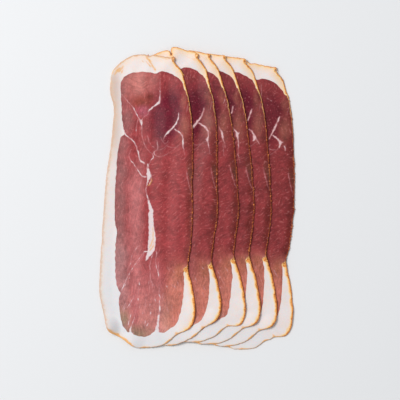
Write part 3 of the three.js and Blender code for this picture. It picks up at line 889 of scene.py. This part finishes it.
def material_named(name):
    """A new material with one Principled shader: the material, its tree's wire and the shader."""
    material = bpy.data.materials.new(name)
    material.use_nodes = True
    return material, Wire(material.node_tree), material.node_tree.nodes["Principled BSDF"]


print("a ham red in linear light:", [round(c, 3) for c in srgb(168, 85, 88)])

# %% [markdown]
# ## The meat, the fat and the rind
#
# Cured lean is dark red with finer and paler muscles in it, dull and slightly moist. Its fat is
# cool white, creamy towards the rind. The tones of each muscle come from the attributes made
# with the mesh, and noise at several sizes breaks them up: clouds, fibres and specks of fat. All
# of it is one material on one continuous slice, because in real ham nothing is joined here.

# %% Tones
LEAN = srgb(155, 58, 61)
TONES = {
    "pale": srgb(187, 105, 106),
    "plum": srgb(108, 14, 38),
    "salmon": srgb(185, 108, 101),
    "rust": srgb(152, 60, 46),
    "rose": srgb(170, 76, 92),
    "ember": srgb(112, 36, 28),
    "dun": srgb(151, 86, 86),
    "dusty": srgb(176, 126, 126),
    "apricot": srgb(203, 147, 131),
    "copper": srgb(195, 114, 99),
    "tan": srgb(158, 84, 74),
    "amber": srgb(178, 104, 74),
    "brick": srgb(122, 38, 34),
    # Painted shade: the dark brown of the shadow in the hollow beside the right rim, not a tone of the meat.
    "slit_shade": srgb(108, 56, 42),
    "olive": srgb(156, 124, 104),
}
FAT, FAT_COOL, FAT_WARM = srgb(235, 227, 227), srgb(228, 228, 232), srgb(235, 222, 218)
SEAM_FAT, SEAM_PINK, SEAM_THIN = srgb(230, 214, 216), srgb(226, 189, 190), srgb(208, 146, 150)
HALO, FLECK = srgb(196, 122, 124), srgb(204, 138, 136)
CREASE, STAIN, GLOW = srgb(88, 14, 18), srgb(232, 172, 96), srgb(246, 211, 172)
RIND, RIND_LIGHT, RIND_DARK = srgb(238, 154, 74), srgb(252, 214, 150), srgb(200, 110, 50)
RIND_LEFT, RIND_FOOT = srgb(210, 172, 146), srgb(238, 180, 118)
BLUSH = srgb(208, 183, 171)
CRUST, CRUST_DARK = srgb(186, 98, 54), srgb(124, 54, 36)
print(len(TONES), "tones of lean")


# %% The finish of a slice
def ham_material(index):
    """The finish of one slice. Slices further down are darker."""
    material, wire, shader = material_named(f"ham_slice_{index + 1}")

    def kept(name):
        return wire.node("ShaderNodeAttribute", {"attribute_name": name}, output="Fac")

    place = wire.node("ShaderNodeAttribute", {"attribute_name": "own_place"}, output="Vector")
    swirl = place.node("ShaderNodeTexNoise", None, {"Vector": place, "Scale": 0.06, "Detail": 1},
                       output="Color")
    swirled = place.node("ShaderNodeVectorMath", {"operation": "MULTIPLY_ADD"},
                         {0: swirl, 1: (14, 14, 0), 2: place})
    broad = place.noise(15.0, 2)
    clouds = place.noise(6.0, 3, 0.6)
    patches = place.noise(2.6, 2, 0.6)
    specks = place.noise(0.8, 1)
    pebbles = place.noise(1.5, 1)
    strands = swirled.drawn_out(84, 6, 1.3).noise(1, 1, 0.6)
    strokes = swirled.drawn_out(30, 5, 1.5).noise(1, 1, 0.6)
    grain = swirled.drawn_out(-3, 11, 1.1).noise(1, 1)

    lean = kept("apricot").tint(LEAN, TONES["apricot"])
    # The last of these is the painted shade of the hollow beside the right rim. The rest are tones of the
    # meat.
    for name in ("dun", "pale", "dusty", "plum", "salmon", "copper", "olive", "rust", "rose", "ember", "tan",
                 "brick", "amber", "slit_shade"):
        lean = kept(name).tint(lean, TONES[name])
    texture = strands + (strokes - strands) * kept("slanted")
    texture = texture + (grain - texture) * kept("salmon")
    texture = texture + (pebbles - texture) * kept("plum") * 0.8
    shade = 1 + (broad - 0.5) * 0.7 + (clouds - 0.5) * 0.8 + (patches - 0.5) * 0.5
    shade = shade + (texture - 0.5) * 0.85 + (specks - 0.5) * 0.45
    lean = lean.scaled(shade * (1 - kept("deep")))
    flecks = texture.smooth(0.58, 0.72) * 0.3 + pebbles.smooth(0.64, 0.73) * 0.32
    lean = (flecks * patches.smooth(0.36, 0.6) * (1 - kept("plum") * 0.4)).tint(lean, FLECK)
    lean = (kept("crease") * 0.7).tint(lean, CREASE)

    fat = clouds.smooth(0.35, 0.65).tint(FAT, FAT_WARM)
    fat = kept("blush").tint(kept("cool").tint(fat, FAT_COOL), BLUSH)
    fat = (kept("glow") * (0.5 + patches)).tint(fat, GLOW)
    fat = fat.scaled(0.97 + (specks - 0.5) * 0.08 + (clouds - 0.5) * 0.08)

    edge = kept("lean") + (specks - 0.5) * 0.5
    in_lean = edge.smooth(-0.22, 0.22)
    seam = kept("seam")
    seam_fat = seam.smooth(0.5, 1.0).tint(SEAM_THIN, SEAM_FAT if index == 0 else SEAM_PINK)
    colour = in_lean.tint(fat, lean)
    colour = (kept("halo") * in_lean * 0.24).tint(colour, HALO)
    colour = (seam * in_lean * (0.75 + specks * 0.4)).tint(colour, seam_fat)
    colour = (kept("stain") * (0.3 + patches)).tint(colour, STAIN)

    spots = place.noise(1.7, 2, 0.6)
    depth = kept("rind") + (spots - 0.5) * 0.35
    rind = depth.smooth(0.45, 0.9).tint(RIND_LIGHT, spots.smooth(0.45, 0.65).tint(RIND, RIND_DARK))
    rind = kept("outer").tint(rind, RIND_LEFT)
    rind = kept("foot").tint(rind, RIND_FOOT)
    rind = kept("crust").tint(rind, spots.smooth(0.35, 0.6).tint(CRUST, CRUST_DARK))
    colour = depth.smooth(0.02, 0.62).tint(colour, rind)

    relief = (texture * 0.8 + specks * 0.4) * in_lean
    relief = relief + seam * 0.5 + kept("rind") * spots * 0.9
    bump = wire.node("ShaderNodeBump", None, {"Height": relief, "Strength": 0.5, "Distance": 0.0003})
    tree = material.node_tree
    tree.links.new(colour.socket, shader.inputs["Base Color"])
    tree.links.new((0.5 - in_lean * 0.06 + (specks - 0.5) * 0.25).socket, shader.inputs["Roughness"])
    tree.links.new(bump.socket, shader.inputs["Normal"])
    shader.inputs["Specular IOR Level"].default_value = 0.17
    shader.inputs["Subsurface Weight"].default_value = 0.1
    shader.inputs["Subsurface Radius"].default_value = (1.0, 0.35, 0.25)
    shader.inputs["Subsurface Scale"].default_value = 0.0012
    return material


for index, piece in enumerate(slices):
    piece.data.materials.append(ham_material(index))
print("materials:", [m.name for m in bpy.data.materials])

# %% [markdown]
# ## Crumbs of crust
#
# Where the lean reaches the rim, its dried edge is a brown line with small orange crumbs on it,
# and more crumbs sit at the top of each tip of fat. Hundreds of small lumps by hand would be
# tedious, so the script only scatters seed points along the rims, and Geometry Nodes puts one
# rough little ball on each, turned at random and as large as the seed says.

# %% Geometry Nodes helpers
def node_tree(name, inputs):
    """A new Geometry Nodes tree with named inputs: the tree and a wire for each input."""
    tree = bpy.data.node_groups.new(name, "GeometryNodeTree")
    tree.interface.new_socket("Geometry", in_out="OUTPUT", socket_type="NodeSocketGeometry")
    tree.interface.new_socket("Geometry", in_out="INPUT", socket_type="NodeSocketGeometry")
    for label, (kind, value) in inputs.items():
        socket = tree.interface.new_socket(label, in_out="INPUT", socket_type=kind)
        if value is not None:
            socket.default_value = value
    entry = tree.nodes.new("NodeGroupInput")
    return tree, {label: Wire(tree, entry.outputs[label]) for label in ["Geometry", *inputs]}


def run_nodes(tree, name, start, values):
    """Runs a tree on a start mesh and keeps what it makes as a plain mesh."""
    piece = bpy.data.objects.new(name, start)
    bpy.context.scene.collection.objects.link(piece)
    modifier = piece.modifiers.new("nodes", "NODES")
    modifier.node_group = tree
    for item in tree.interface.items_tree:
        if item.name in values:
            modifier[item.identifier] = values[item.name]
    made = piece.evaluated_get(bpy.context.evaluated_depsgraph_get())
    mesh = bpy.data.meshes.new_from_object(made)
    piece.modifiers.clear()
    piece.data = mesh
    print(name, len(mesh.polygons), "faces")
    return piece


def end_tree(nodes, geometry, finish):
    """Ends a tree with real, smooth faces that carry their finish."""
    real = nodes.node("GeometryNodeRealizeInstances", None, {"Geometry": geometry})
    soft = nodes.node("GeometryNodeSetShadeSmooth", None, {"Geometry": real})
    finished = nodes.node("GeometryNodeSetMaterial", None, {"Geometry": soft, "Material": finish})
    nodes.node("NodeGroupOutput", None, {"Geometry": finished})


def seed_mesh(name, points, edges=(), **values):
    """A mesh of points in mm, loose or joined by edges, with a number on each."""
    mesh = bpy.data.meshes.new(name)
    mesh.from_pydata(np.asarray(points) * MM, list(edges), [])
    for label, numbers in values.items():
        layer = mesh.attributes.new(label, "FLOAT", "POINT")
        layer.data.foreach_set("value", np.asarray(numbers, np.float32))
    return mesh


def on_slice(index, flat, raised=0.0):
    """The place on top of a slice, in mm in the fan, of points in the slice's own frame."""
    ring = slice_outline(index)[0]
    inwards = np.clip(inwards_of(flat, ring) / EDGE_RADIUS, 0, 1)
    world = placed(flat, SLICES[index])
    top = underside(index, world) + THICKNESS / 2 * (1 + np.sqrt(1 - (1 - inwards) ** 2))
    return np.column_stack([world, top + raised])


# %% Scatter the seeds of the crumbs
CRUMB_SHARE = 0.62
NOTCH_CRUMBS = [(0.6, 128.3), (0.7, 128.9), (0.8, 129.4)]
TIP, TIP_SPREAD = (34.8, -61.3), (1.2, 1.1)
TIP_TRIES, TIP_GRAINS = 160, 44
SUNK = -0.08


def rim_seeds(index):
    """Seeds along the dried edge of one slice's lean."""
    rng = np.random.default_rng(900 + index)
    ring, outwards = slice_outline(index)
    x, y = ring.T
    bare = ramp(x, 30, 35) * ramp(y, -60, -55) * ramp(y, 98, 88)
    thick = 0.35 + 0.65 * ramp(waves(ring, 70 + index, 11), -0.2, 0.5)
    chosen = rng.random(len(ring)) < CRUMB_SHARE * bare * thick
    seeds = ring[chosen] - outwards[chosen] * rng.uniform(0.0, 0.9, (chosen.sum(), 1))
    if index == 0:
        seeds = np.vstack([seeds, NOTCH_CRUMBS])
    return seeds, 0.22 + 0.45 * rng.random(len(seeds)) ** 2.2


def tip_seeds(index):
    """Seeds of golden grit at the top of the tip of fat."""
    rng = np.random.default_rng(950 + index)
    ring = slice_outline(index)[0]
    seeds = np.column_stack([rng.normal(*axis, TIP_TRIES) for axis in zip(TIP, TIP_SPREAD)])
    seeds = seeds[inwards_of(seeds, ring) > 0.1][:TIP_GRAINS]
    return seeds, rng.uniform(0.2, 0.55, len(seeds))


def scattered(kind):
    """Places and sizes of one kind of crumb on all the slices."""
    places, sizes = [], []
    for index in range(len(SLICES)):
        seeds, size = kind(index)
        places.append(on_slice(index, seeds, raised=SUNK))
        sizes.append(size)
    return np.vstack(places), np.concatenate(sizes)


rim_places, rim_sizes = scattered(rim_seeds)
tip_places, tip_sizes = scattered(tip_seeds)
print("crumbs on the rims:", len(rim_places), "and at the tips:", len(tip_places))


# %% Grow the crumbs
crumb_tree, wires = node_tree("crumbs", {
    "Radius": ("NodeSocketFloat", 0.001), "Roughness": ("NodeSocketFloat", 0.5),
    "Seed": ("NodeSocketInt", 4), "Finish": ("NodeSocketMaterial", None)})
nodes = Wire(crumb_tree)
ball = nodes.node("GeometryNodeMeshIcoSphere", None, {"Radius": wires["Radius"], "Subdivisions": 2})
where = nodes.node("GeometryNodeInputPosition")
lumps = nodes.node("ShaderNodeTexNoise", None, {"Vector": where, "Scale": 900.0, "Detail": 1.0},
                   output="Color")
push = nodes.node("ShaderNodeVectorMath", {"operation": "SUBTRACT"}, {0: lumps, 1: (0.5, 0.5, 0.5)})
push = push.scaled(wires["Roughness"] * wires["Radius"] * 3)
rough = nodes.node("GeometryNodeSetPosition", None, {"Geometry": ball, "Offset": push})
size = nodes.node("GeometryNodeInputNamedAttribute", {"data_type": "FLOAT"}, {"Name": "size"})
turn = nodes.node("FunctionNodeRandomValue", {"data_type": "FLOAT_VECTOR"},
                  {0: (0, 0, 0), 1: (6.3, 6.3, 6.3), "Seed": wires["Seed"]})
many = nodes.node("GeometryNodeInstanceOnPoints", None,
                  {"Points": wires["Geometry"], "Instance": rough, "Rotation": turn, "Scale": size})
end_tree(nodes, many, wires["Finish"])
print("nodes in the crumb tree:", len(crumb_tree.nodes))


# %% The finishes of the crumbs and the curls
def rind_material(name, light, dark, size, roughness):
    """Dried rind: two browns in spots, with a rough, slightly waxy surface."""
    material, wire, shader = material_named(name)
    place = wire.node("ShaderNodeTexCoord", None, None, output="Object")
    spots = place.noise(size, 2, 0.6)
    colour = spots.smooth(0.38, 0.62).tint(light, dark)
    bump = wire.node("ShaderNodeBump", None, {"Height": place.noise(size / 3, 1), "Strength": 0.5,
                                              "Distance": 0.0002})
    material.node_tree.links.new(colour.socket, shader.inputs["Base Color"])
    material.node_tree.links.new((roughness + (spots - 0.5) * 0.2).socket, shader.inputs["Roughness"])
    material.node_tree.links.new(bump.socket, shader.inputs["Normal"])
    shader.inputs["Specular IOR Level"].default_value = 0.3
    return material


crust_finish = rind_material("crust_orange_brown", srgb(236, 142, 78), srgb(140, 62, 34), 0.0016, 0.5)
grit_finish = rind_material("tip_gold", srgb(248, 194, 110), srgb(176, 98, 44), 0.0012, 0.45)
curl_finish = rind_material("rind_gold", srgb(250, 196, 118), srgb(218, 136, 66), 0.002, 0.45)
crumbs = run_nodes(crumb_tree, "crust_crumbs", seed_mesh("rims", rim_places, size=rim_sizes),
                   {"Finish": crust_finish})
grit = run_nodes(crumb_tree, "tip_grit", seed_mesh("tips", tip_places, size=tip_sizes),
                 {"Finish": grit_finish, "Seed": 9})

# %% [markdown]
# ## Curls of rind at the shoulders
#
# At each slice's upper right corner the rind comes loose from the rim and rolls up into a little
# hook. Each hook is a tube along a path that lies on its slice, thick in the middle and thin at
# both ends. The paths are plain lines of edges, and one Geometry Nodes tree turns them into tubes.

# %% Roll the rind
# x and y on the slice, the tube's radius, and how far it stands up from the surface
CURL = [
    (31.6, 111.8, 0.16, 0.0), (29.4, 114.7, 0.26, 0.0), (27.0, 117.4, 0.32, 0.05),
    (24.9, 119.8, 0.34, 0.1), (23.5, 121.8, 0.35, 0.12), (22.7, 123.6, 0.35, 0.15),
    (22.7, 125.0, 0.35, 0.2), (23.5, 125.6, 0.34, 0.25), (24.2, 124.8, 0.32, 0.25),
    (24.2, 123.2, 0.3, 0.25), (24.0, 121.9, 0.28, 0.2), (24.4, 120.9, 0.2, 0.1),
]
CURL_SIZES = [1.2, 1.2, 1.05, 1.0, 0.95, 0.85]
CURL_FOOT = np.array([26.5, 119.5])


def curl_path(index):
    """One curl's path as places in the fan, and its radius at each."""
    size = CURL_SIZES[index]
    line = smooth_line(CURL, 5)
    flat = CURL_FOOT + (line[:, :2] - CURL_FOOT) * size
    places = on_slice(index, flat) + np.outer(line[:, 3] * size, (0, 0, 1))
    return places, line[:, 2] * size


curl_tree, wires = node_tree("rind_curls", {
    "Strip radius": ("NodeSocketFloat", 0.001), "Sides": ("NodeSocketInt", 8),
    "Finish": ("NodeSocketMaterial", None)})
nodes = Wire(curl_tree)
path = nodes.node("GeometryNodeMeshToCurve", None, {"Mesh": wires["Geometry"]})
strip = nodes.node("GeometryNodeCurvePrimitiveCircle", None,
                   {"Resolution": wires["Sides"], "Radius": wires["Strip radius"]}, output="Curve")
thick = nodes.node("GeometryNodeInputNamedAttribute", {"data_type": "FLOAT"}, {"Name": "thick"})
rolled = nodes.node("GeometryNodeCurveToMesh", None,
                    {"Curve": path, "Profile Curve": strip, "Scale": thick, "Fill Caps": True})
end_tree(nodes, rolled, wires["Finish"])

curl_paths = [curl_path(index) for index in range(len(SLICES))]
curl_lines, first = [], 0
for places, _ in curl_paths:
    curl_lines += [(first + i, first + i + 1) for i in range(len(places) - 1)]
    first += len(places)
curls = run_nodes(curl_tree, "rind_curls",
                  seed_mesh("shoulders", np.vstack([places for places, _ in curl_paths]), curl_lines,
                            thick=np.concatenate([radius for _, radius in curl_paths])),
                  {"Finish": curl_finish})

# %% [markdown]
# ## The slices take the solids' places
#
# Each slice is one piece of meat, so it replaces both its lean and its fat solid, while the
# crumbs and curls are added on top. Nothing moves here, so every piece rides on the same body.

# %% Onto the frame
for number, piece in enumerate(slices, 1):
    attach(piece, "root")
    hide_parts(f"lean_{number}", f"fat_{number}")
for piece in (crumbs, grit, curls):
    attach(piece, "root")
print("pieces:", [piece.name for piece in (*slices, crumbs, grit, curls)])

# %% [markdown]
# ## Floor, light and camera
#
# The picture is taken from straight above with soft light from the upper left, so each slice
# has a thin shadow at its right. One large area light gives that, and the world's white fills in.

# %% Floor and light
FLOOR_SIZE, FLOOR_DROP = 6, 0.0002
KEY_PLACE, KEY_SIZE, KEY_POWER = Vector((-1.25, 0.7, 2.25)), 0.9, 52
SKY_STRENGTH = 0.41
bpy.ops.mesh.primitive_plane_add(size=FLOOR_SIZE, location=(0, 0, -FLOOR_DROP))
floor = bpy.context.object
floor.name = "floor"
floor_material, _, floor_shader = material_named("floor_white")
floor_shader.inputs["Base Color"].default_value = srgb(234, 236, 239)
floor_shader.inputs["Roughness"].default_value = 0.7
floor.data.materials.append(floor_material)
floor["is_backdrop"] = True

lamp = bpy.data.lights.new("key", "AREA")
lamp.energy, lamp.size, lamp.color = KEY_POWER, KEY_SIZE, (1, 0.985, 0.965)
light = bpy.data.objects.new("key", lamp)
light.location = KEY_PLACE
light.rotation_euler = (-KEY_PLACE).to_track_quat("-Z", "Y").to_euler()
bpy.context.scene.collection.objects.link(light)
world = bpy.data.worlds.new("studio")
world.use_nodes = True
world.node_tree.nodes["Background"].inputs["Color"].default_value = (0.97, 0.985, 1, 1)
world.node_tree.nodes["Background"].inputs["Strength"].default_value = SKY_STRENGTH
bpy.context.scene.world = world
bpy.context.scene.view_settings.view_transform = "Standard"
print("distance of the lamp, m:", round(KEY_PLACE.length, 2))

# %% Camera
VIEW_WIDTH = 0.356
DISTANCE = 1.5
VIEW_MIDDLE = (0.0027, -0.000945)
camera_data = bpy.data.cameras.new("camera")
camera_data.lens = camera_data.sensor_width * DISTANCE / VIEW_WIDTH
camera = bpy.data.objects.new("camera", camera_data)
camera.location = (*VIEW_MIDDLE, DISTANCE)
bpy.context.scene.collection.objects.link(camera)
bpy.context.scene.camera = camera
print("lens, mm:", round(camera_data.lens, 1))

# %% [markdown]
# ## The size stays the solid model's
#
# The looks may stand a little proud of the solids but never change the object's size, so both
# boxes are written down side by side.

# %% Sizes and the end
bpy.context.view_layer.update()
boxes = {"solid_model": cad_box, "visual_model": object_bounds()}
for name, box in boxes.items():
    print(name, "mm:", [round(v / MM, 1) for corner in box for v in corner])
